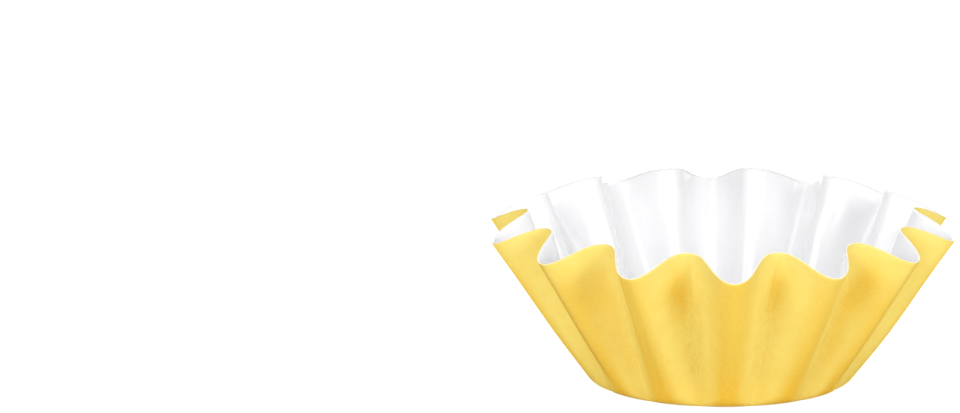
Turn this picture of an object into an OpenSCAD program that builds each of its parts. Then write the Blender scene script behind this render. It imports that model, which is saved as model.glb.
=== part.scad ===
// Fluted cupcake liner, pressed from one flat disc of stiff coated paper.
// It stands on its flat base, with the base's centre at the origin and the rim facing up.

/* [Base] */
// Diameter of the flat base, measured to the foot of a valley
base_d = 44; // [36:1:54]
// Radius that rounds the base into the side under a crest
corner_r = 5.8; // [3:0.1:8]
// Radius of the same corner in the crease at the foot of a valley
crease_r = 0.8; // [0.6:0.1:2.5]
// How far inside the base's edge the paper lifts off the floor under a crest
crest_inset = 0.6; // [0:0.1:1.5]

/* [Side] */
// Length of paper along a crest, from where it lifts off the floor up to the rim
side_length = 37.4; // [28:0.2:46]
// Lean of the side away from upright, midway between a crest and a valley, in degrees
side_lean = 26.3; // [22:0.1:38]

/* [Flutes] */
// Number of flutes round the side
flute_count = 14; // [8:1:17]
// How much flatter the crests and steeper the flanks are than a plain wave
flank_steepness = 0.05; // [0:0.01:0.1]
// Roundness of the creases in the valleys: 0.1 is sharp, and 1 nearly a plain wave
crease_roundness = 0.2; // [0.1:0.05:1]

/* [Paper] */
// Thickness of the paper
paper_t = 0.25; // [0.15:0.05:0.5]
// Colour of the paper's outer face
paper_colour = "#F9D665"; // [#F9D665:Yellow, #F4B6C2:Pink, #BFE3D0:Green, #F7F4EC:White]

/* [Hidden] */

// Columns of points across one flute, and rows of them up the corner and up the straight side
flute_columns = 14;
corner_rows = 5;
side_rows = 5;
// Degrees by which the columns crowd towards a valley, where the paper bends most
column_crowding = 22;
// Least width of the flat ring that the fluted side keeps inside its foot, to join the base
foot_w = 2;
// Smoothness of the base's round joint in that ring
base_facets = 120;
// Step of the flute's angle for which the paper's direction across the flutes is measured
angle_step = 0.5;
// Halvings in the search for the flute depth, and the widest lean that it tries
trial_count = 24;
widest_lean = 40;

columns = flute_count * flute_columns;
last_row = corner_rows + side_rows;
// Radius at which a crest lifts off the floor, and the inner radius of the foot's flat ring
crest_flat_r = base_d / 2 - crest_inset;
ring_r = crest_flat_r - foot_w;
// Length of the rim in the flat disc, before it was pressed into flutes
blank_rim_length = 2 * PI * (crest_flat_r + side_length);
// Depth of a crease before it is scaled, at a crest
crease_top = norm([1, crease_roundness]);

// Flute angle, in degrees: 0 at a crest, 180 at the bottom of a valley.
// The wave is 1 at a crest and -1 in a valley.
function wave(angle) =
    (cos(angle) - flank_steepness * cos(3 * angle)) / (1 - flank_steepness);

// The crease is 0 over a crest and rises to 1 in a narrow line at the bottom of a valley
function crease(angle) =
    (crease_top - norm([cos(angle / 2), crease_roundness])) / (crease_top - crease_roundness);

// Radius of the rounded corner, and the radius at which it lifts off the floor
function bend_r(angle) = corner_r - (corner_r - crease_r) * crease(angle);
function flat_r(angle) = crest_flat_r + crest_inset * crease(angle);

// Radius and height of the rim for a given depth of flute, which is the lean, in degrees,
// of a crest past the middle of the side. All lines of paper have one length and one corner here.
function rim_section(angle, depth) =
    let (
        lean = side_lean + depth * wave(angle),
        straight = side_length - corner_r * (90 - lean) * PI / 180
    )
    [
        crest_flat_r + corner_r * cos(lean) + straight * sin(lean),
        corner_r * (1 - sin(lean)) + straight * cos(lean)
    ];

// A point in space from its radius and height; the first crest faces the front, along -Y
function placed(angle, section) =
    let (azimuth = angle / flute_count - 90)
    [section[0] * cos(azimuth), section[0] * sin(azimuth), section[1]];

// Flute angle of a column
function column_angle(column) =
    let (even = 360 * column / flute_columns)
    even + column_crowding * sin(even);

// Length of paper along the rim for a given depth of flute
function rim_length(depth) =
    let (
        rim = [
            for (column = [0 : flute_columns])
                let (angle = column_angle(column))
                placed(angle, rim_section(angle, depth))
        ],
        steps = [for (i = [1 : flute_columns]) norm(rim[i] - rim[i - 1])]
    )
    flute_count * (steps * [for (step = steps) 1]);

// Paper neither stretches nor shrinks, so the flutes are as deep as it takes
// for the rim to be as long as it was in the flat disc
function depth_between(low, high, trials) =
    let (middle = (low + high) / 2)
    trials < 1 ? middle
    : rim_length(middle) < blank_rim_length ? depth_between(middle, high, trials - 1)
    : depth_between(low, middle, trials - 1);

flute_depth = depth_between(0, widest_lean, trial_count);

// Straight line of the side at a flute angle, from the rim down to the corner, which it touches:
// its lean from upright and its length
function side_line(angle) =
    let (
        rim = rim_section(angle, flute_depth),
        across = rim[0] - flat_r(angle),
        up = rim[1] - bend_r(angle),
        reach = norm([across, up])
    )
    [atan2(across, up) - asin(bend_r(angle) / reach), sqrt(reach ^ 2 - bend_r(angle) ^ 2)];

// Slope of the paper at a row: 0 where it lies flat, and steepest on the straight side.
// Row -1 lies inside the flat base and row 0 on its edge; the corner ends at its own row.
function slope(angle, row) =
    (90 - side_line(angle)[0]) * max(min(row / corner_rows, 1), 0);

// Point of the outer face at a flute angle and a row
function outer_point(angle, row) =
    let (
        turn = slope(angle, row),
        up = side_line(angle)[1] * max(row - corner_rows, 0) / side_rows,
        section = [
            flat_r(angle) + bend_r(angle) * sin(turn) + up * cos(turn),
            bend_r(angle) * (1 - cos(turn)) + up * sin(turn)
        ]
    )
    placed(angle, row < 0 ? [ring_r, 0] : section);

// Direction square to the paper, towards the inside of the cup
function inward(angle, row) =
    let (
        turn = slope(angle, row),
        up = placed(angle, [cos(turn), sin(turn)]),
        across = outer_point(angle + angle_step, row) - outer_point(angle - angle_step, row),
        square = cross(up, across)
    )
    square / norm(square);

function inner_point(angle, row) = outer_point(angle, row) + paper_t * inward(angle, row);

// Fluted side: an outer and an inner skin, joined along the foot and along the cut rim
module fluted_side() {
    outer = [
        for (row = [-1 : last_row], column = [0 : columns - 1])
            outer_point(column_angle(column), row)
    ];
    inner = [
        for (row = [-1 : last_row], column = [0 : columns - 1])
            inner_point(column_angle(column), row)
    ];
    skin = len(outer);
    rim = skin - columns;

    outer_faces = [
        for (ring = [0 : last_row], column = [0 : columns - 1])
            let (
                next = (column + 1) % columns,
                a = ring * columns + column,
                b = ring * columns + next
            )
            each [[a, a + columns, b], [b, a + columns, b + columns]]
    ];
    inner_faces = [for (face = outer_faces) [face[2] + skin, face[1] + skin, face[0] + skin]];
    foot_faces = [
        for (column = [0 : columns - 1])
            let (next = (column + 1) % columns)
            each [[column, next, column + skin], [next, next + skin, column + skin]]
    ];
    rim_faces = [
        for (face = foot_faces) [face[2] + rim, face[1] + rim, face[0] + rim]
    ];
    polyhedron(
        points = concat(outer, inner),
        faces = concat(outer_faces, inner_faces, foot_faces, rim_faces),
        convexity = 10
    );
}

// Flat disc inside the foot of the side, which the cup rests on
module flat_base() {
    cylinder(r = ring_r + foot_w / 2, h = paper_t, $fn = base_facets);
}

module liner() {
    color(paper_colour)
        union() {
            fluted_side();
            flat_base();
        }
}

liner();
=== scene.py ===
"""Looks of a fluted cupcake liner: its pressed paper, the finishes of that paper, light and camera."""

import math

import bpy
import numpy as np
from mathutils import Matrix, Vector


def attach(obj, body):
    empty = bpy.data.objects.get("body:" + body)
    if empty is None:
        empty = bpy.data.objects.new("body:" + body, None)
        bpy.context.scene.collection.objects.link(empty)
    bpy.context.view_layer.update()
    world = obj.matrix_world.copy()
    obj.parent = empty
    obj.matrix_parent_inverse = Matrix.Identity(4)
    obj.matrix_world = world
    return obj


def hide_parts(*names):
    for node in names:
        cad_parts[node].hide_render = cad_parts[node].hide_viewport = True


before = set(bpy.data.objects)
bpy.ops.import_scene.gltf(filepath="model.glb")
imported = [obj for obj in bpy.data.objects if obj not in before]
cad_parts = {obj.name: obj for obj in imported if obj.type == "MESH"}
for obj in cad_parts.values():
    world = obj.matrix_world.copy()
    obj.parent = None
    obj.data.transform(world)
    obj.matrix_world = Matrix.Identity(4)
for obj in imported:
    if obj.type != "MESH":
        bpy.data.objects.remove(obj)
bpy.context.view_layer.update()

MM = 0.001
FULL_TURN = 2 * math.pi

# Flute angles are in radians: 0 at a crest, and pi at the bottom of a valley.
# Heights up the side run from 0 at the base's corner to 1 at the rim.
# A pair of heights is where something starts or stops: it eases from the first to the second.

# Form of the pressed paper, in millimetres and degrees, as in the part's source
BASE_D = 44.0
CORNER_R = 5.8
CREASE_R = 0.8
CREST_INSET = 0.6
CREASE_ROUNDNESS = 0.2
SIDE_LENGTH = 37.4
SIDE_LEAN = 26.3
FLUTES = 14
FLANK_STEEPNESS = 0.05
PAPER_T = 0.25
BLANK_R = BASE_D / 2 - CREST_INSET + SIDE_LENGTH
# The widest lean in the search for the depth of the flutes, in degrees, and its number of halvings
WIDEST_LEAN = 40.0
DEPTH_TRIALS = 30

# Fineness of the mesh; the columns crowd towards the valleys, where the paper is creased
COLUMNS_PER_FLUTE = 50
COLUMN_CROWDING = 0.6
CORNER_ROWS = 8
SIDE_ROWS = 44
FLOOR_RINGS = 8

# Unevenness of the pressing, in millimetres, for each flute from the front crest round to the right.
# A valley's values stand at the flute on its left. A dent is about 0.6 of its value deep.
CREST_OUT_AT_RIM = (0.0, 0.1, 0.0, 0.15, 0.1, 0.05, 0.15, 0.0, -0.1, 0.1, 0.0, 0.4, 0.1, 0.0)
CREST_BELLY = (0.1, 0.15, 0.25, 0.4, 0.2, 0.1, 0.2, 0.15, 0.1, 0.2, 0.2, 0.3, 0.2, 0.1)
CREST_BEND = (0.0, 0.1, 0.1, 0.2, 0.1, 0.0, 0.1, -0.1, 0.1, 0.0, 0.1, 0.13, 0.1, 0.0)
CREST_SWAY_AT_FOOT = (0.0, 0.3, -0.2, 0.0, 0.3, -0.2, 0.1, 0.3, -0.3, 0.2, 0.0, 0.0, 0.2, 0.1)
# Each dent is also painted darker in the yellow, as painted shade
VALLEY_DENT = (0.9, 1.1, 0.6, 0.7, 0.4, 0.6, 0.5, 0.7, 0.4, 0.8, 0.5, 0.6, 0.6, 1.15)
# Shift of each dent from the middle of its valley, and its spread, as flute angles
DENT_SHIFT = (0.4, 1.4, 0.8, -0.5, 0.7, 0.0, -0.8, 0.2, 0.0, 0.9, -0.6, 0.4, -1.5, -0.8)
DENT_WIDTH = (0.65, 0.6, 0.8, 0.7, 0.75, 0.8, 0.7, 0.75, 0.8, 0.7, 0.75, 0.8, 0.95, 0.75)
# How far up the side a dent's middle is, and its spread up the side
DENT_HEIGHT = 0.76
DENT_SPREAD = 0.12
# How much of the swell above a dent is lost towards the rim
SWELL_LOST = 0.85
SWELL_STOPS = (0.8, 1.0)
# The curve of a belly up the side is height ** BELLY_POWER * (1 - height), and this is its top
BELLY_POWER = 1.3
BELLY_TOP = 0.207
# The foot of the valleys is still even
VALLEYS_START = (0.0, 0.12)

# How far the base's edge was pressed in at the front and at the back
BASE_PRESSED_IN = 0.7
BASE_PRESS_STOPS = (0.0, 0.6)
# How much further the flat base reaches at the two sides, where the crests' corners are tighter
BASE_FULLNESS = 1.1

# Where the disc was cut a little short, as flute numbers: depth in millimetres and spread in flutes
SHORT_CUTS = (9.26,)
SHORT_CUT_DEPTH = 0.6
SHORT_CUT_WIDTH = 0.08

# How far the front flanks are drawn in at the rim, which leaves the crests narrower than the valleys
FLANK_TUCK = 0.3

# The fold line at the bottom of a valley: depth in millimetres, and spread and shift as flute angles
FOLD_DEPTH = 0.07
FOLD_WIDTH = 0.3
FOLD_SOFTNESS = 0.05
FOLD_SHIFT = 0.1
FOLD_STOPS = (0.88, 0.97)
# Its wander to both sides, and how that changes up the side and from each valley to the next
FOLD_WANDER = 0.06
FOLD_WANDER_UP = 7
FOLD_WANDER_ROUND = 2.4

# Crumpled paper beside the fold line: depth in millimetres, and spread as a flute angle
CRUMPLE_DEPTH = 0.03
CRUMPLE_WIDTH = 1.0
CRUMPLE_STARTS = (0.1, 0.3)
CRUMPLE_STOPS = (0.62, 0.85)
# Waves across and up a valley that add up to the wrinkles, and how far each of them bends
CRUMPLE_WAVES = ((9, 5), (14, 8), (21, 11))
CRUMPLE_BEND = 1.6
CRUMPLE_SEED = 14

# How crinkled the paper is beside each fold line
VALLEY_CRINKLE = (0.65, 0.7, 0.3, 0.5, 0.8, 0.3, 0.6, 0.7, 0.4, 0.7, 0.3, 0.5, 0.4, 0.8)

# How much painted shade darkens each valley, below its dent
VALLEY_SHADE = (0.0, 0.65, 0.2, 0.1, 0.3, 0.0, 0.2, 0.3, 0.1, 0.2, 0.0, 0.3, 0.4, 0.1)
VALLEY_SHADE_STARTS = (0.05, 0.35)
VALLEY_SHADE_STOPS = (DENT_HEIGHT - 0.15, DENT_HEIGHT)
# The middle of that line of painted shade, as a share of the dent's shift
VALLEY_SHADE_SHIFT = 0.75

# How much painted shade darkens the upper half of the fold line, and its spread as a flute angle
FOLD_SHADE = 0.4
FOLD_SHADE_WIDTH = 0.07
FOLD_SHADE_STARTS = (0.4, 0.7)

# The band of painted shade along each crest: its shift, and half its spread, as flute angles
CREST_SHADE_SHIFT = (0.0, 0.15, -0.2, 0.1, 0.0, -0.1, 0.1, 0.0, -0.2, 0.1, 0.0, 0.1, 0.2, -0.7)
CREST_SHADE_WIDTH = (1.3, 1.1, 0.9, 0.8, 0.9, 0.8, 1.0, 0.9, 0.8, 0.9, 1.0, 0.8, 1.0, 1.4)
# The soft edge of that band, in half spreads from its middle
CREST_SHADE_EDGE = (0.3, 1.6)
# How much of that band is left at the rim, and where the rest stops
CREST_SHADE_AT_RIM = (1.0, 0.8, 0.3, 0.5, 0.4, 0.7, 0.5, 0.8, 0.4, 0.6, 0.5, 0.4, 0.4, 1.0)
CREST_SHADE_STOPS = (0.6, 0.95)

# How dark the fine line of painted shade along each crest's edge is
CREST_CONTOUR_SHADE = (0.0, 0.1, 0.7, 0.4, 0.2, 0.5, 0.1, 0.3, 0.4, 0.1, 0.5, 0.3, 0.9, 0.2)
CONTOUR_SHADE_STARTS = (0.0, 0.2)
# Shift of that line at the cup's two sides, away from the front, and its spread, as flute angles
CONTOUR_SHADE_SHIFT = 0.35
CONTOUR_SHADE_WIDTH = 0.3

# Finishes, as linear colours
OUTSIDE_YELLOW = (0.86, 0.70, 0.185, 1.0)
OUTSIDE_DEEP = (0.82, 0.52, 0.05, 1.0)
OUTSIDE_PALE = (0.86, 0.73, 0.25, 1.0)
# Painted shade for the fine dark line along the crests' edges
OUTSIDE_CONTOUR_SHADE = (0.64, 0.37, 0.035, 1.0)
INSIDE_WHITE = (0.865, 0.865, 0.872, 1.0)
INSIDE_SHADE = (0.84, 0.84, 0.86, 1.0)
EDGE_CREAM = (0.93, 0.86, 0.62, 1.0)
EDGE_FIBRE = (0.88, 0.76, 0.42, 1.0)
FLOOR_WHITE = (0.9, 0.9, 0.9, 1.0)
PLAIN_WHITE = (1.0, 1.0, 1.0, 1.0)

# How far each mark takes the yellow to its deeper tone: painted shade on valleys and crests, painted shade
# in the crinkles, the foot, and clouds
PAINTED_SHADE_TONE = 0.76
CRINKLE_SHADE_TONE = 0.35
FOOT_TONE = 0.4
CLOUD_TONE = 0.15
# How far the fibres, and the painted light on the paper near the rim, take it to its paler tone
FIBRE_TONE = 0.25
RIM_LIGHT_TONE = 0.3
# How far the clouds take the white to its shade
COATING_CLOUD_TONE = 0.35
# The values of the cloud noise over which the clouds show, outside and inside
CLOUD_SHOWS = (0.35, 0.7)
COATING_CLOUD_SHOWS = (0.3, 0.75)

# Lowest and highest roughness, which follow the fibres outside and the clouds inside
OUTSIDE_ROUGHNESS = (0.6, 0.85)
COATING_ROUGHNESS = (0.1, 0.24)

# Where the deeper foot, the painted light near the rim and the crinkles lie up the side; below 0 is the
# base's corner
FOOT_STOPS = (-0.4, 0.5)
RIM_STARTS = (0.75, 1.0)
CRINKLE_STARTS = (0.05, 0.25)
CRINKLE_STOPS = (0.6, 0.85)
# Where they lie across the flute, from 0 at a crest to 1 at the bottom of a valley
OFF_CREST = (0.02, 0.4)
NEAR_FOLD = (0.66, 0.95)

# Scale of the fibres' noise, which makes them longer one way, and its values over which they show
FIBRE_STRETCH = (0.45, 1.0, 1.0)
FIBRE_SHOWS = (0.4, 0.7)

# Relief of the finishes, in millimetres
OUTSIDE_GRAIN = 0.06
OUTSIDE_CRINKLE = 0.06
COATING_GRAIN = 0.004
COATING_WAVES = 0.06
COATING_CRINKLE = 0.02
EDGE_GRAIN = 0.03

# Camera: where it stands round the cup, in degrees and metres, and where the cup's middle
# lies in the picture, in pixels
PICTURE_W = 960
PICTURE_H = 413
CAMERA_AZIMUTH = -3.32
CAMERA_ELEVATION = 13.83
CAMERA_DISTANCE = 1.2016
FOCAL_PIXELS = 6381.2
AIM_HEIGHT = 0.015
AIM_PIXEL = (720.4, 300.5)
CAMERA_ROLL = 0.555
SENSOR_W = 36.0
# The nearest and the farthest thing that it sees, as shares of its distance
CLIP_NEAR = 0.05
CLIP_FAR = 20

# Light and floor, in metres and as levels of brightness
LAMP_DISTANCE = 0.9
AMBIENT_LEVEL = 0.28
FLOOR_GLOW = 0.75
FLOOR_HALF_W = 3.0
FLOOR_DROP = 0.05 * MM


def ease(value, low, high):
    """Smooth step from 0 at low to 1 at high."""
    share = np.clip((value - low) / (high - low), 0, 1)
    return share * share * (3 - 2 * share)


def between(value, starts, stops):
    """Eases from 0 to 1 over the first pair of values, and back to 0 over the second."""
    return ease(value, *starts) * (1 - ease(value, *stops))


def bell(distance, spread):
    """1 at no distance, falling off softly over the spread."""
    return np.exp(-(distance / spread) ** 2)


def wave(phase):
    """1 at a flute's crest, where phase is 0, and -1 at the bottom of a valley."""
    return (np.cos(phase) - FLANK_STEEPNESS * np.cos(3 * phase)) / (1 - FLANK_STEEPNESS)


def valley_dip(phase):
    """0 over the crests, rising to 1 in a narrow crease at the bottom of each valley."""
    crest = math.hypot(1, CREASE_ROUNDNESS)
    rise = np.hypot(np.cos(phase / 2), CREASE_ROUNDNESS)
    return (crest - rise) / (crest - CREASE_ROUNDNESS)


def fullness(phase):
    """How much further the flat base reaches: nothing at the front, and most at the cup's two sides."""
    return BASE_FULLNESS * np.sin(phase / FLUTES) ** 2


def flat_radius(phase):
    """Radius at which the paper leaves the floor: a little less under a crest than under a valley."""
    return BASE_D / 2 - CREST_INSET * (1 - valley_dip(phase)) + fullness(phase)


def rim_section(phase, depth):
    """Radius and height of the rim: paper of one length, over a corner of one radius."""
    lean = np.radians(SIDE_LEAN + depth * wave(phase))
    corner = CORNER_R * (math.pi / 2 - lean)
    straight = SIDE_LENGTH - corner
    radius = BASE_D / 2 - CREST_INSET + CORNER_R * np.cos(lean) + straight * np.sin(lean)
    height = CORNER_R * (1 - np.sin(lean)) + straight * np.cos(lean)
    return radius, height


def paper_lines(phase, depth):
    """Corner radius, lean and straight length of the lines that run from the base's corner to the rim."""
    corner_r = CORNER_R - (CORNER_R - CREASE_R) * valley_dip(phase)
    corner_r = corner_r - fullness(phase) * (1 + np.cos(phase))
    radius, height = rim_section(phase, depth)
    across = radius - flat_radius(phase)
    up = height - corner_r
    reach = np.hypot(across, up)
    lean = np.arctan2(across, up) - np.arcsin(corner_r / reach)
    return corner_r, lean, np.sqrt(reach ** 2 - corner_r ** 2)


def cut_short(phase):
    """How much shorter the side is where the disc's edge was cut unevenly."""
    return SHORT_CUT_DEPTH * sum(bell(phase / FULL_TURN - place, SHORT_CUT_WIDTH) for place in SHORT_CUTS)


def placed(phase, radius, height):
    """Points in space; the first crest faces the front."""
    azimuth = phase / FLUTES - math.pi / 2
    return np.stack([radius * np.cos(azimuth), radius * np.sin(azimuth), height], axis=-1)


def rim_length(depth):
    """Length of paper along the rim, for a depth of the flutes in degrees."""
    phase = np.linspace(0, FULL_TURN, 2 * COLUMNS_PER_FLUTE + 1)
    rim = placed(phase, *rim_section(phase, depth))
    return FLUTES * np.linalg.norm(np.diff(rim, axis=0), axis=1).sum()


def flute_depth():
    """Lean of a crest past the side's middle line, so that the rim keeps its length in the flat disc."""
    low, high = 0.0, WIDEST_LEAN
    for _ in range(DEPTH_TRIALS):
        middle = (low + high) / 2
        if rim_length(middle) < FULL_TURN * BLANK_R:
            low = middle
        else:
            high = middle
    return (low + high) / 2


def from_crest(phase):
    """Which crest a point is nearest to, and how far it is from it, as a flute angle."""
    crest = np.round(phase / FULL_TURN).astype(int)
    return crest % FLUTES, phase - FULL_TURN * crest


def from_valley(phase):
    """Which valley a point is nearest to, and how far it is from its middle, as a flute angle."""
    valley = np.floor(phase / FULL_TURN).astype(int)
    return valley % FLUTES, phase - FULL_TURN * (valley + 0.5)


def from_fold(phase, side):
    """How far a point is from the fold line of its valley, as a flute angle."""
    valley, off = from_valley(phase)
    return off - FOLD_SHIFT - FOLD_WANDER * np.sin(FOLD_WANDER_UP * side + FOLD_WANDER_ROUND * valley)


def own(values, flute):
    """Each point's own value, from a list with one value for each flute."""
    return np.asarray(values)[flute]


def at_crests(values, phase):
    """Each flute's own value round its crest, fading to nothing in the valleys."""
    return own(values, from_crest(phase)[0]) * (1 + np.cos(phase)) / 2


def dent_shape(phase, side):
    """Strength of the soft oval dents in the valleys below the rim, and the height from their middle."""
    valley, off = from_valley(phase)
    up = (side - DENT_HEIGHT) / DENT_SPREAD
    across = (off - own(DENT_SHIFT, valley)) / own(DENT_WIDTH, valley)
    return own(VALLEY_DENT, valley) * np.exp(-up ** 2 / 2 - across ** 2), up


def dents(phase, side):
    """A dent is pressed in below its middle, and swells a little above it."""
    strength, up = dent_shape(phase, side)
    return strength * up * (1 - SWELL_LOST * ease(side, *SWELL_STOPS))


def fold_lines(phase, side):
    """A fine fold down the bottom of each valley, which stops just short of the rim."""
    steep = np.hypot(from_fold(phase, side), FOLD_SOFTNESS) - FOLD_SOFTNESS
    return -FOLD_DEPTH * np.exp(-steep / FOLD_WIDTH) * (1 - ease(side, *FOLD_STOPS))


def crumples(phase, side):
    """Narrow wrinkles that run down beside each fold line, where the paper had to be gathered."""
    valley, off = from_valley(phase)
    draw = np.random.default_rng(CRUMPLE_SEED)
    total = np.zeros_like(phase)
    for across, up in CRUMPLE_WAVES:
        shift = own(draw.uniform(0, FULL_TURN, FLUTES), valley)
        sway = own(draw.uniform(0, FULL_TURN, FLUTES), valley)
        wrinkle = np.sin(across * off + shift + CRUMPLE_BEND * np.sin(up * side + sway))
        total = total + wrinkle / len(CRUMPLE_WAVES)
    place = np.exp(-(off / CRUMPLE_WIDTH) ** 4) * between(side, CRUMPLE_STARTS, CRUMPLE_STOPS)
    return CRUMPLE_DEPTH * total * place


def unevenness(phase, side):
    """How far the pressed paper stands out from its true form, in millimetres, square to itself."""
    belly = side ** BELLY_POWER * (1 - side) / BELLY_TOP
    crests = at_crests(CREST_OUT_AT_RIM, phase) * side ** 2 + at_crests(CREST_BELLY, phase) * belly
    crests = crests + at_crests(CREST_BEND, phase) * np.sin(FULL_TURN * side)
    valleys = dents(phase, side) + fold_lines(phase, side) + crumples(phase, side)
    tuck = FLANK_TUCK * (1 + np.cos(phase / FLUTES)) / 2 * np.sin(phase) ** 2
    return crests - tuck * side + valleys * ease(side, *VALLEYS_START)


def section(phase, row, depth):
    """Radius and height of the outer face, and the length of paper from the middle of the base.
    Rows -1 to 0 cross the floor, 0 to 1 go up the corner, and 1 to 2 up the side."""
    corner_r, lean, straight = paper_lines(phase, depth)
    straight = straight - cut_short(phase)
    turn = np.clip(row, 0, 1) * (math.pi / 2 - lean)
    side = np.clip(row - 1, 0, 1)
    pressed_in = BASE_PRESSED_IN * np.cos(phase / FLUTES) ** 2 * (1 - ease(side, *BASE_PRESS_STOPS))
    floor = (flat_radius(phase) - pressed_in) * (1 + np.clip(row, -1, 0))
    out = unevenness(phase, side)
    radius = floor + corner_r * np.sin(turn) + side * straight * np.sin(lean) + out * np.cos(lean)
    height = corner_r * (1 - np.cos(turn)) + side * straight * np.cos(lean) - out * np.sin(lean)
    return radius, height, floor + corner_r * turn + side * straight


def swayed(phase, row):
    """Flute angles, shifted where a crest's foot was pressed to one side."""
    shift = at_crests(CREST_SWAY_AT_FOOT, phase) / (BASE_D / 2) * FLUTES
    return phase + shift * between(row, (-1, 0), (1, 2))


def valley_painted_shade(phase, side):
    """Painted shade in the valleys: in the dents, in a broad line below them and on the fold."""
    valley, off = from_valley(phase)
    below_dent = between(side, VALLEY_SHADE_STARTS, VALLEY_SHADE_STOPS)
    line = bell(off - VALLEY_SHADE_SHIFT * own(DENT_SHIFT, valley), own(DENT_WIDTH, valley)) * below_dent
    fold = bell(from_fold(phase, side), FOLD_SHADE_WIDTH) * between(side, FOLD_SHADE_STARTS, FOLD_STOPS)
    # The dents are painted darker as well as pressed in: painted shade
    return dent_shape(phase, side)[0] + own(VALLEY_SHADE, valley) * line + FOLD_SHADE * fold


def crest_painted_shade(phase, side):
    """Painted shade on the crests: a band along each of them, fainter towards the rim."""
    crest, off = from_crest(phase)
    away = np.abs(off - own(CREST_SHADE_SHIFT, crest)) / own(CREST_SHADE_WIDTH, crest)
    lost = (1 - own(CREST_SHADE_AT_RIM, crest)) * ease(side, *CREST_SHADE_STOPS)
    return (1 - ease(away, *CREST_SHADE_EDGE)) * (1 - lost)


def contour_shade_line(phase, side):
    """A fine line of painted shade along each crest's edge, which starts above the foot."""
    crest, off = from_crest(phase)
    line = bell(off - CONTOUR_SHADE_SHIFT * np.sin(phase / FLUTES), CONTOUR_SHADE_WIDTH)
    return own(CREST_CONTOUR_SHADE, crest) * line * ease(side, *CONTOUR_SHADE_STARTS)


def paper_grid():
    """Flute angles and rows of the mesh's points; section says what the rows are."""
    phase = np.linspace(0, FULL_TURN * FLUTES, FLUTES * COLUMNS_PER_FLUTE, endpoint=False)
    floor = np.linspace(-1 + 1 / FLOOR_RINGS, 0, FLOOR_RINGS)[:-1]
    corner = np.linspace(0, 1, CORNER_ROWS + 1)[:-1]
    side = np.linspace(1, 2, SIDE_ROWS + 1)
    rows = np.concatenate([floor, corner, side])
    return np.meshgrid(phase + COLUMN_CROWDING * np.sin(phase), rows)


def inward_normals(points):
    """Directions square to the paper, towards the inside of the cup."""
    around = np.roll(points, -1, axis=1) - np.roll(points, 1, axis=1)
    up = np.gradient(points, axis=0)
    square = np.cross(up, around)
    return square / np.linalg.norm(square, axis=2, keepdims=True)


def paper_faces(rows, columns):
    """Faces of the outer skin, of the inner skin and of the cut edge that joins them.
    Each skin closes on a point in the middle of the base, which comes after the points of both."""
    skin = rows * columns
    index = np.arange(skin).reshape(rows, columns)
    right = np.roll(index, -1, axis=1)
    outer = np.stack([index[:-1], right[:-1], right[1:], index[1:]], axis=-1).reshape(-1, 4)
    inner = outer[:, ::-1] + skin
    edge = np.stack([index[-1], right[-1], right[-1] + skin, index[-1] + skin], axis=-1)
    innermost = list(zip(index[0].tolist(), right[0].tolist()))
    below = [(2 * skin, b, a) for a, b in innermost]
    above = [(2 * skin + 1, a + skin, b + skin) for a, b in innermost]
    return outer.tolist() + below, inner.tolist() + above, edge.tolist()


def add_map(mesh, name, places, wrap=0):
    """A texture map from one place for each vertex; faces that cross the seam of the wrap are mended."""
    corners = np.empty(len(mesh.loops), dtype=np.int32)
    mesh.loops.foreach_get("vertex_index", corners)
    first = np.empty(len(mesh.polygons), dtype=np.int32)
    mesh.polygons.foreach_get("loop_start", first)
    uv = places[corners].astype(np.float32)
    if wrap:
        across = uv[:, 0]
        sizes = np.diff(np.append(first, len(corners)))
        widest = np.repeat(np.maximum.reduceat(across, first), sizes)
        uv[:, 0] = np.where(widest - across > wrap / 2, across + wrap, across)
    layer = mesh.uv_layers.new(name=name, do_init=False)
    layer.uv.foreach_set("vector", uv.ravel())


def add_paper_maps(mesh, phase, row, paper_r):
    """Places in the flat disc that the paper was cut as, and in the pleats: flute and height."""
    flat = placed(phase, paper_r, 0 * paper_r)[..., :2].reshape(-1, 2) / (2 * BLANK_R) + 0.5
    pleats = np.stack([phase / FULL_TURN, row - 1], axis=-1).reshape(-1, 2)
    flat_centres = [[0.5, 0.5]] * 2
    pleat_centres = [[0, -2]] * 2
    add_map(mesh, "flat_disc", np.concatenate([flat, flat, flat_centres]))
    add_map(mesh, "pleats", np.concatenate([pleats, pleats, pleat_centres]), wrap=FLUTES)


def add_marks(mesh, phase, side):
    """How much painted shade on valleys and crests, painted shade at the crests' edges and crinkling each
    vertex has, which the materials read by name.
    """
    marks = {
        "painted_shade": np.minimum(valley_painted_shade(phase, side) + crest_painted_shade(phase, side), 1),
        "contour_shade": contour_shade_line(phase, side),
        "crinkled": own(VALLEY_CRINKLE, from_valley(phase)[0]),
    }
    for name, values in marks.items():
        attribute = mesh.attributes.new(name, "FLOAT", "POINT")
        both_skins = np.concatenate([values.ravel(), values.ravel(), [0, 0]])
        attribute.data.foreach_set("value", both_skins.astype(np.float32))


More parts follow.
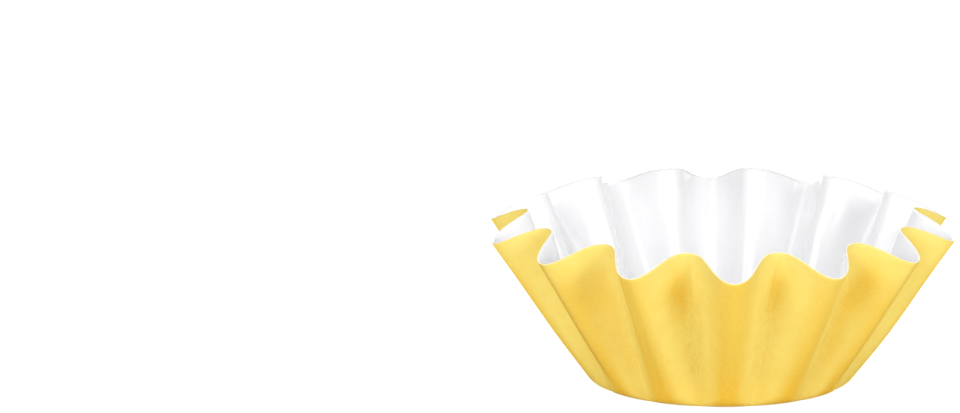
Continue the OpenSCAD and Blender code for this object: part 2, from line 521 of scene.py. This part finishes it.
def liner_mesh():
    """The whole cup as one closed mesh: finish 0 is the outer face, 1 the inner face, 2 the cut edge."""
    phase, row = paper_grid()
    radius, height, paper_r = section(phase, row, flute_depth())
    outer = placed(swayed(phase, row), radius, height)
    inner = outer + PAPER_T * inward_normals(outer)
    centres = [[0, 0, 0], [0, 0, PAPER_T]]
    verts = np.concatenate([outer.reshape(-1, 3), inner.reshape(-1, 3), centres]) * MM

    parts = paper_faces(*phase.shape)
    faces = sum(parts, [])
    finishes = np.repeat([0, 1, 2], [len(part) for part in parts])
    mesh = bpy.data.meshes.new("pressed_paper")
    mesh.from_pydata(verts.tolist(), [], faces)
    mesh.polygons.foreach_set("material_index", finishes.tolist())
    mesh.polygons.foreach_set("use_smooth", [True] * len(faces))
    add_paper_maps(mesh, phase, row, paper_r)
    add_marks(mesh, phase, np.clip(row - 1, 0, 1))
    mesh.update()
    return mesh


def add_node(tree, kind, inputs=None, **settings):
    """A new node with its settings; each input is a value, or another node's output to link."""
    node = tree.nodes.new("ShaderNode" + kind)
    for name, value in settings.items():
        setattr(node, name, value)
    for socket, value in (inputs or {}).items():
        if isinstance(value, bpy.types.NodeSocket):
            tree.links.new(value, node.inputs[socket])
        else:
            node.inputs[socket].default_value = value
    return node


def calculated(tree, operation, first, second=0.0, third=0.0):
    """One step of arithmetic on values or on other nodes' outputs."""
    return add_node(tree, "Math", {0: first, 1: second, 2: third}, operation=operation).outputs[0]


def product(tree, first, *others):
    """All of them multiplied."""
    for value in others:
        first = calculated(tree, "MULTIPLY", first, value)
    return first


def turned_round(tree, mask):
    """0 where the mask is 1, and 1 where it is 0."""
    return calculated(tree, "SUBTRACT", 1.0, mask)


def eased(tree, value, low, high):
    """Smooth step from 0 at low to 1 at high."""
    sockets = {"Value": value, "From Min": low, "From Max": high}
    return add_node(tree, "MapRange", sockets, interpolation_type="SMOOTHSTEP").outputs["Result"]


def mixed(tree, factor, first, second):
    """Two colours mixed; the colour sockets of a Mix node are its inputs 6 and 7."""
    return add_node(tree, "Mix", {0: factor, 6: first, 7: second}, data_type="RGBA").outputs[2]


def bumped(tree, height, relief, normal=None):
    """A normal for relief of so many millimetres, on top of another normal where one is given."""
    sockets = {"Height": height, "Distance": relief * MM}
    if normal:
        sockets["Normal"] = normal
    return add_node(tree, "Bump", sockets).outputs["Normal"]


def ranging(tree, value, low, high):
    """Low where the value is 0, and high where it is 1."""
    return calculated(tree, "MULTIPLY_ADD", value, high - low, low)


def vertex_mark(tree, name):
    """What add_marks has stored in the mesh under this name."""
    return add_node(tree, "Attribute", attribute_name=name).outputs["Fac"]


def new_group(name, inputs, outputs):
    """A group with its sockets, and its two nodes that stand for what it is given and what it makes."""
    group = bpy.data.node_groups.new(name, "ShaderNodeTree")
    for label, value in inputs.items():
        socket = group.interface.new_socket(label, in_out="INPUT", socket_type="NodeSocketFloat")
        socket.default_value = value
    for label in outputs:
        group.interface.new_socket(label, in_out="OUTPUT", socket_type="NodeSocketFloat")
    return group, group.nodes.new("NodeGroupInput"), group.nodes.new("NodeGroupOutput")


def placed_group(tree, group, **values):
    """The group as one node of a material, with this material's own values."""
    node = tree.nodes.new("ShaderNodeGroup")
    node.node_tree = group
    for label, value in values.items():
        node.inputs[label].default_value = value
    return node


def paper_fibre_group():
    """Fine fibres that lie along the sheet, and the cloudy look of paper pulp, in the flat disc."""
    group, given, made = new_group("paper_fibre", {"Fibres": 420.0, "Clouds": 45.0}, ["Fibre", "Cloud"])
    place = add_node(group, "UVMap", uv_map="flat_disc").outputs["UV"]
    along = add_node(group, "Mapping", {"Vector": place, "Scale": FIBRE_STRETCH}).outputs["Vector"]
    fibre = add_node(group, "TexNoise", {"Vector": along, "Scale": given.outputs["Fibres"],
                                         "Detail": 3.0, "Roughness": 0.6})
    cloud = add_node(group, "TexNoise", {"Vector": place, "Scale": given.outputs["Clouds"],
                                         "Detail": 2.0, "Roughness": 0.5})
    group.links.new(fibre.outputs["Fac"], made.inputs["Fibre"])
    group.links.new(cloud.outputs["Fac"], made.inputs["Cloud"])
    return group


def crinkle_lines(group, given, flute, height):
    """Fine wandering lines, drawn where a slow noise crosses its middle value."""
    across = product(group, flute, given.outputs["Across"])
    along = product(group, height, given.outputs["Along"])
    spot = add_node(group, "CombineXYZ", {"X": across, "Y": along}).outputs["Vector"]
    noise = add_node(group, "TexNoise", {"Vector": spot, "Scale": 1.0, "Detail": 1.5, "Distortion": 0.9})
    off_middle = calculated(group, "SUBTRACT", noise.outputs["Fac"], 0.5)
    ridge = calculated(group, "ABSOLUTE", off_middle)
    return turned_round(group, eased(group, ridge, 0.0, given.outputs["Fineness"]))


def marks_and_painted_light_group():
    """Fine crinkles beside the fold lines, and the marks that deepen or pale the paper: painted shade, a
    deeper foot and painted light near the rim.
    """
    inputs = {"Across": 26.0, "Along": 18.0, "Fineness": 0.12}
    group, given, made = new_group("marks_and_painted_light", inputs, ["Crinkle", "PaintedShade", "ContourShade", "Foot", "RimLight"])
    place = add_node(group, "UVMap", uv_map="pleats").outputs["UV"]
    parts = add_node(group, "SeparateXYZ", {0: place}).outputs
    flute, height = parts["X"], parts["Y"]
    crest = calculated(group, "COSINE", product(group, flute, FULL_TURN))
    valley = calculated(group, "MULTIPLY_ADD", crest, -0.5, 0.5)

    lines = crinkle_lines(group, given, flute, height)
    near_fold = eased(group, valley, *NEAR_FOLD)
    above_foot = eased(group, height, *CRINKLE_STARTS)
    below_rim = turned_round(group, eased(group, height, *CRINKLE_STOPS))
    strength = vertex_mark(group, "crinkled")
    marks = {
        "Crinkle": product(group, lines, near_fold, above_foot, below_rim, strength),
        "PaintedShade": vertex_mark(group, "painted_shade"),
        "ContourShade": vertex_mark(group, "contour_shade"),
        "Foot": turned_round(group, eased(group, height, *FOOT_STOPS)),
        # Paler paper near the rim, away from the crests, is painted light
        "RimLight": product(group, eased(group, height, *RIM_STARTS), eased(group, valley, *OFF_CREST)),
    }
    for label, value in marks.items():
        group.links.new(value, made.inputs[label])
    return group


def new_material(name, colour, roughness):
    """A material of one plain colour and roughness, to which the marks are then linked."""
    material = bpy.data.materials.new(name)
    material.use_nodes = True
    shader = material.node_tree.nodes["Principled BSDF"]
    shader.inputs["Base Color"].default_value = colour
    shader.inputs["Roughness"].default_value = roughness
    return material, material.node_tree, shader


def yellow_paper(fibre_group, marks_group):
    """Matt dyed paper: deeper in colour towards the foot and with painted shade on valleys, crests and
    crinkles; paler on its fibres and with painted light near the rim.
    """
    material, tree, shader = new_material("yellow_paper", OUTSIDE_YELLOW, 0.75)
    shader.inputs["Specular IOR Level"].default_value = 0.01
    fibre = placed_group(tree, fibre_group, Fibres=300.0).outputs
    marks = placed_group(tree, marks_group).outputs

    # Painted shade on the valleys and crests
    painted_shade = product(tree, marks["PaintedShade"], PAINTED_SHADE_TONE)
    at_foot = product(tree, marks["Foot"], FOOT_TONE)
    # The crinkle lines are painted deeper: painted shade in the fine creases
    creased = product(tree, marks["Crinkle"], CRINKLE_SHADE_TONE)
    # All that deepens the yellow: mostly painted shade, and the deeper foot
    deepened = calculated(tree, "ADD", painted_shade, calculated(tree, "ADD", at_foot, creased))
    strands = product(tree, eased(tree, fibre["Fibre"], *FIBRE_SHOWS), FIBRE_TONE)
    # Pale fibres, and painted light on the paper near the rim
    pale = calculated(tree, "MAXIMUM", strands, product(tree, marks["RimLight"], RIM_LIGHT_TONE))
    cloudy = product(tree, eased(tree, fibre["Cloud"], *CLOUD_SHOWS), CLOUD_TONE)

    colour = mixed(tree, deepened, OUTSIDE_YELLOW, OUTSIDE_DEEP)
    # The fine dark line along the crests' edges is painted shade
    colour = mixed(tree, marks["ContourShade"], colour, OUTSIDE_CONTOUR_SHADE)
    colour = mixed(tree, pale, colour, OUTSIDE_PALE)
    colour = mixed(tree, cloudy, colour, OUTSIDE_DEEP)
    tree.links.new(colour, shader.inputs["Base Color"])
    tree.links.new(ranging(tree, fibre["Fibre"], *OUTSIDE_ROUGHNESS), shader.inputs["Roughness"])
    grain = bumped(tree, fibre["Fibre"], OUTSIDE_GRAIN)
    tree.links.new(bumped(tree, marks["Crinkle"], OUTSIDE_CRINKLE, grain), shader.inputs["Normal"])
    return material


def white_coating(fibre_group, marks_group):
    """Glazed white film: glossy, with the paper's fibres and crinkles faintly showing through."""
    material, tree, shader = new_material("white_coating", INSIDE_WHITE, 0.2)
    fibre = placed_group(tree, fibre_group, Fibres=260.0).outputs
    marks = placed_group(tree, marks_group, Fineness=0.25).outputs
    shade = product(tree, eased(tree, fibre["Cloud"], *COATING_CLOUD_SHOWS), COATING_CLOUD_TONE)
    tree.links.new(mixed(tree, shade, INSIDE_WHITE, INSIDE_SHADE), shader.inputs["Base Color"])
    tree.links.new(ranging(tree, fibre["Cloud"], *COATING_ROUGHNESS), shader.inputs["Roughness"])
    grain = bumped(tree, fibre["Fibre"], COATING_GRAIN)
    waves = bumped(tree, fibre["Cloud"], COATING_WAVES, grain)
    tree.links.new(bumped(tree, marks["Crinkle"], COATING_CRINKLE, waves), shader.inputs["Normal"])
    return material


def cut_edge(fibre_group):
    """The paper's bare core, where the disc was cut out: pale, dull and fibrous."""
    material, tree, shader = new_material("cut_edge", EDGE_CREAM, 0.85)
    fibre = placed_group(tree, fibre_group, Fibres=900.0).outputs["Fibre"]
    strands = eased(tree, fibre, *FIBRE_SHOWS)
    tree.links.new(mixed(tree, strands, EDGE_CREAM, EDGE_FIBRE), shader.inputs["Base Color"])
    tree.links.new(bumped(tree, fibre, EDGE_GRAIN), shader.inputs["Normal"])
    return material


def add_liner():
    """The cup in its finishes, which stand in the order in which liner_mesh numbers them."""
    fibre_group = paper_fibre_group()
    marks_group = marks_and_painted_light_group()
    mesh = liner_mesh()
    mesh.materials.append(yellow_paper(fibre_group, marks_group))
    mesh.materials.append(white_coating(fibre_group, marks_group))
    mesh.materials.append(cut_edge(fibre_group))
    liner = bpy.data.objects.new("pressed_liner", mesh)
    bpy.context.scene.collection.objects.link(liner)
    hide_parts("liner")
    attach(liner, "root")


def direction(azimuth, elevation):
    """Unit vector from the cup to a place round it; azimuth 0 is in front, and +90 is to its right."""
    a, e = math.radians(azimuth), math.radians(elevation)
    return Vector((math.sin(a) * math.cos(e), -math.cos(a) * math.cos(e), math.sin(e)))


def add_camera():
    """Stands at the photograph's angle; turned a little off the cup, which then lies off the middle."""
    camera = bpy.data.objects.new("camera", bpy.data.cameras.new("camera"))
    bpy.context.scene.collection.objects.link(camera)
    bpy.context.scene.camera = camera
    camera.data.sensor_width = SENSOR_W
    camera.data.lens = FOCAL_PIXELS / PICTURE_W * SENSOR_W
    camera.data.clip_start = CAMERA_DISTANCE * CLIP_NEAR
    camera.data.clip_end = CAMERA_DISTANCE * CLIP_FAR

    back = direction(CAMERA_AZIMUTH, CAMERA_ELEVATION)
    place = Vector((0, 0, AIM_HEIGHT)) + back * CAMERA_DISTANCE
    facing = (-back).to_track_quat("-Z", "Y").to_matrix()
    roll = Matrix.Rotation(math.radians(CAMERA_ROLL), 3, "Z")
    seen_at = Vector((AIM_PIXEL[0] - PICTURE_W / 2, PICTURE_H / 2 - AIM_PIXEL[1], -FOCAL_PIXELS))
    turn = (roll @ seen_at).rotation_difference(Vector((0, 0, -1))).to_matrix()
    camera.matrix_world = Matrix.Translation(place) @ (facing @ turn @ roll).to_4x4()


def add_lamp(name, azimuth, elevation, size, level):
    """A soft lamp that faces the cup; level is the brightness that it alone gives a white surface."""
    data = bpy.data.lights.new(name, "AREA")
    data.shape = "RECTANGLE"
    data.size, data.size_y = size
    data.energy = level * (math.pi * LAMP_DISTANCE) ** 2
    lamp = bpy.data.objects.new(name, data)
    bpy.context.scene.collection.objects.link(lamp)
    back = direction(azimuth, elevation)
    lamp.location = Vector((0, 0, AIM_HEIGHT)) + back * LAMP_DISTANCE
    lamp.rotation_mode = "QUATERNION"
    lamp.rotation_quaternion = (-back).to_track_quat("-Z", "Y")


def add_lamps():
    """Four lamps in front of the cup and two behind it."""
    add_lamp("left_softbox", azimuth=-30, elevation=24, size=(0.6, 0.4), level=0.352)
    add_lamp("right_softbox", azimuth=41, elevation=24, size=(0.4, 0.4), level=0.42)
    add_lamp("high_left_lamp", azimuth=-40, elevation=46, size=(0.4, 0.3), level=0.17)
    add_lamp("low_front_lamp", azimuth=0, elevation=7, size=(0.5, 0.18), level=0.1)
    add_lamp("back_left_lamp", azimuth=-165, elevation=45, size=(0.4, 0.4), level=0.28)
    add_lamp("back_right_lamp", azimuth=165, elevation=45, size=(0.4, 0.4), level=0.32)


def seen_directly(tree):
    """1 for what the camera sees by itself, in a reflection or through glass, and 0 for light on things."""
    path = add_node(tree, "LightPath").outputs
    by_itself = calculated(tree, "MAXIMUM", path["Is Camera Ray"], path["Is Glossy Ray"])
    return calculated(tree, "MAXIMUM", by_itself, path["Is Transmission Ray"])


def set_world():
    """A white room; it lights the cup at a lower level than it is seen at."""
    world = bpy.data.worlds.new("white_room")
    bpy.context.scene.world = world
    world.use_nodes = True
    tree = world.node_tree
    background = tree.nodes["Background"]
    background.inputs["Color"].default_value = PLAIN_WHITE
    levels = {"Value": seen_directly(tree), "To Min": AMBIENT_LEVEL, "To Max": 1.0}
    strength = add_node(tree, "MapRange", levels).outputs["Result"]
    tree.links.new(strength, background.inputs["Strength"])


def add_floor():
    """A wide white floor just below the cup, whose glow is seen but lights nothing."""
    mesh = bpy.data.meshes.new("floor")
    near, far = -FLOOR_HALF_W, FLOOR_HALF_W
    corners = [(near, near), (far, near), (far, far), (near, far)]
    mesh.from_pydata([(x, y, -FLOOR_DROP) for x, y in corners], [], [(0, 1, 2, 3)])
    floor = bpy.data.objects.new("floor", mesh)
    bpy.context.scene.collection.objects.link(floor)
    material, tree, shader = new_material("white_floor", FLOOR_WHITE, 0.9)
    shader.inputs["Specular IOR Level"].default_value = 0.0
    shader.inputs["Emission Color"].default_value = PLAIN_WHITE
    tree.links.new(product(tree, seen_directly(tree), FLOOR_GLOW), shader.inputs["Emission Strength"])
    mesh.materials.append(material)


add_liner()
add_camera()
add_floor()
set_world()
add_lamps()

bpy.context.scene.view_settings.view_transform = "Standard"
